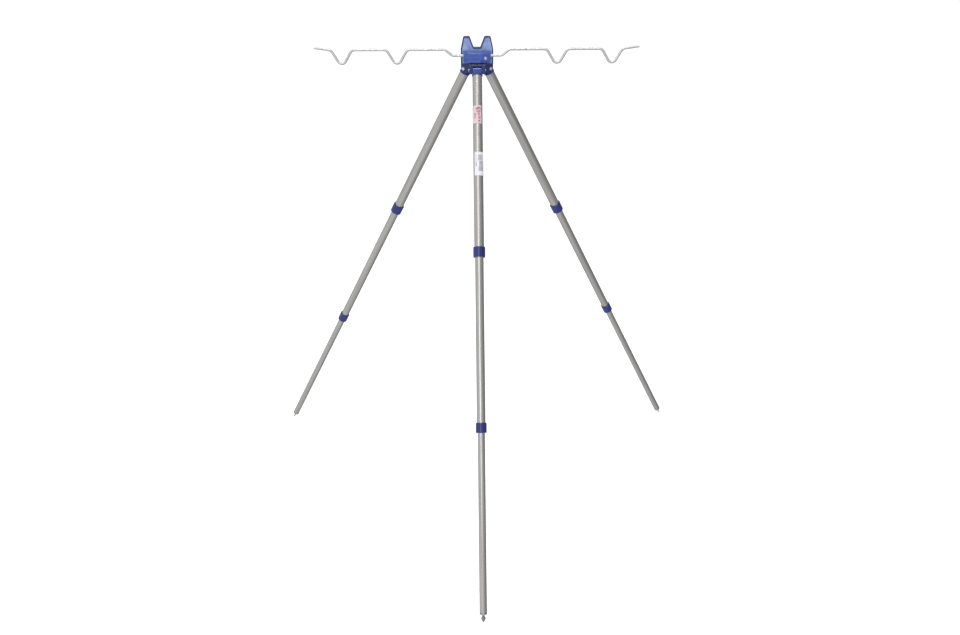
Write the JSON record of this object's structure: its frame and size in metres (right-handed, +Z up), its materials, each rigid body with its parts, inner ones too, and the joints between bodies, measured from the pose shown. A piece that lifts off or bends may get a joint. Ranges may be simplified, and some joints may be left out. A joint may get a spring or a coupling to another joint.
{
  "type": "telescopic rod tripod",
  "caption": "Telescopic aluminium tripod that holds fishing rods in a moulded fork head and on folding bent-wire arms; the legs fold shut and their tubes lock by twisting.",
  "frame": {"origin": "on the floor, at the middle of the object's bounding box seen from above, standing open on its spikes", "axes": "+Z up, +X along the right wire arm as seen from the front leg, +Y from the front leg towards the two rear legs"},
  "size_m": [1.0784, 0.9372, 1.126],
  "materials": {
    "blue_plastic": "glossy deep blue moulding",
    "tube_aluminium": "satin drawn tube",
    "wire_steel": "bright plated wire",
    "bright_steel": "plated",
    "lock_plastic": "matt black moulding",
    "sleeve_plastic": "matt grey moulding",
    "foot_zinc": "dull cast metal",
    "label_paper": "printed film"
  },
  "bodies": {
    "head": {"head_body": "blue_plastic", "arm_cover": "blue_plastic", "cover_screw": "bright_steel", "left_arm_pivot_pin": "bright_steel", "front_leg_pin": "bright_steel", "left_leg_pin": "bright_steel", "right_leg_pin": "bright_steel"},
    "left_arm": {"left_wire_arm": "wire_steel"},
    "right_arm": {"right_wire_arm": "wire_steel"},
    "front_leg": {"front_leg_cap": "blue_plastic", "front_upper_tube": "tube_aluminium", "front_upper_collar": "blue_plastic", "front_leg_label_upper": "label_paper", "front_leg_label_lower": "label_paper"},
    "front_middle_lock": {"front_middle_expander": "sleeve_plastic"},
    "front_middle": {"front_middle_tube": "tube_aluminium", "front_middle_lock_screw": "lock_plastic", "front_lower_collar": "blue_plastic"},
    "front_lower_lock": {"front_lower_expander": "sleeve_plastic"},
    "front_lower": {"front_lower_tube": "tube_aluminium", "front_lower_lock_screw": "lock_plastic", "front_foot_plug": "foot_zinc", "front_foot_spike": "bright_steel"},
    "left_leg": {"left_leg_cap": "blue_plastic", "left_upper_tube": "tube_aluminium", "left_upper_collar": "blue_plastic"},
    "left_middle_lock": {"left_middle_expander": "sleeve_plastic"},
    "left_middle": {"left_middle_tube": "tube_aluminium", "left_middle_lock_screw": "lock_plastic", "left_lower_collar": "blue_plastic"},
    "left_lower_lock": {"left_lower_expander": "sleeve_plastic"},
    "left_lower": {"left_lower_tube": "tube_aluminium", "left_lower_lock_screw": "lock_plastic", "left_foot_plug": "foot_zinc", "left_foot_spike": "bright_steel"},
    "right_leg": {"right_leg_cap": "blue_plastic", "right_upper_tube": "tube_aluminium", "right_upper_collar": "blue_plastic"},
    "right_middle_lock": {"right_middle_expander": "sleeve_plastic"},
    "right_middle": {"right_middle_tube": "tube_aluminium", "right_middle_lock_screw": "lock_plastic", "right_lower_collar": "blue_plastic"},
    "right_lower_lock": {"right_lower_expander": "sleeve_plastic"},
    "right_lower": {"right_lower_tube": "tube_aluminium", "right_lower_lock_screw": "lock_plastic", "right_foot_plug": "foot_zinc", "right_foot_spike": "bright_steel"}
  },
  "joints": [
    {"name": "left_arm_fold", "type": "hinge", "parent": "head", "child": "left_arm", "pos_m": [-0.019, 0.13996, 1.07963], "axis": [0, -1, 0], "range_deg": [0, 90]},
    {"name": "right_arm_fold", "type": "hinge", "parent": "head", "child": "right_arm", "pos_m": [0.019, 0.13996, 1.07963], "axis": [0, 1, 0], "range_deg": [0, 90]},
    {"name": "front_leg_fold", "type": "hinge", "parent": "head", "child": "front_leg", "pos_m": [0, 0.12806, 1.05383], "axis": [1, 0, 0], "range_deg": [0, 29.5]},
    {"name": "front_middle_slide", "type": "slide", "parent": "front_leg", "child": "front_middle_lock", "axis": [0, 0.4924, 0.8704], "range_m": [0, 0.3268]},
    {"name": "front_middle_twist", "type": "hinge", "parent": "front_middle_lock", "child": "front_middle", "pos_m": [0, -0.05852, 0.72405], "axis": [0, 0.4924, 0.8704], "range_deg": [0, 180]},
    {"name": "front_lower_slide", "type": "slide", "parent": "front_middle", "child": "front_lower_lock", "axis": [0, 0.4924, 0.8704], "range_m": [-0.0289, 0.3201]},
    {"name": "front_lower_twist", "type": "hinge", "parent": "front_lower_lock", "child": "front_lower", "pos_m": [0, -0.23708, 0.40846], "axis": [0, 0.4924, 0.8704], "range_deg": [0, 180]},
    {"name": "left_leg_fold", "type": "hinge", "parent": "head", "child": "left_leg", "pos_m": [-0.02252, 0.16706, 1.05383], "axis": [-0.5, -0.866, 0], "range_deg": [0, 29.5]},
    {"name": "left_middle_slide", "type": "slide", "parent": "left_leg", "child": "left_middle_lock", "axis": [0.4265, -0.2462, 0.8704], "range_m": [-0.004, 0.3228]},
    {"name": "left_middle_twist", "type": "hinge", "parent": "left_middle_lock", "child": "left_middle", "pos_m": [-0.18239, 0.25936, 0.72753], "axis": [0.4265, -0.2462, 0.8704], "range_deg": [0, 180]},
    {"name": "left_lower_slide", "type": "slide", "parent": "left_middle", "child": "left_lower_lock", "axis": [0.4265, -0.2462, 0.8704], "range_m": [-0.0249, 0.3241]},
    {"name": "left_lower_twist", "type": "hinge", "parent": "left_lower_lock", "child": "left_lower", "pos_m": [-0.33873, 0.34962, 0.40846], "axis": [0.4265, -0.2462, 0.8704], "range_deg": [0, 180]},
    {"name": "right_leg_fold", "type": "hinge", "parent": "head", "child": "right_leg", "pos_m": [0.02252, 0.16706, 1.05383], "axis": [-0.5, 0.866, 0], "range_deg": [0, 29.5]},
    {"name": "right_middle_slide", "type": "slide", "parent": "right_leg", "child": "right_middle_lock", "axis": [-0.4265, -0.2462, 0.8704], "range_m": [-0.0289, 0.2979]},
    {"name": "right_middle_twist", "type": "hinge", "parent": "right_middle_lock", "child": "right_middle", "pos_m": [0.17178, 0.25323, 0.7492], "axis": [-0.4265, -0.2462, 0.8704], "range_deg": [0, 180]},
    {"name": "right_lower_slide", "type": "slide", "parent": "right_middle", "child": "right_lower_lock", "axis": [-0.4265, -0.2462, 0.8704], "range_m": [0, 0.349]},
    {"name": "right_lower_twist", "type": "hinge", "parent": "right_lower_lock", "child": "right_lower", "pos_m": [0.33873, 0.34962, 0.40846], "axis": [-0.4265, -0.2462, 0.8704], "range_deg": [0, 180]}
  ]
}
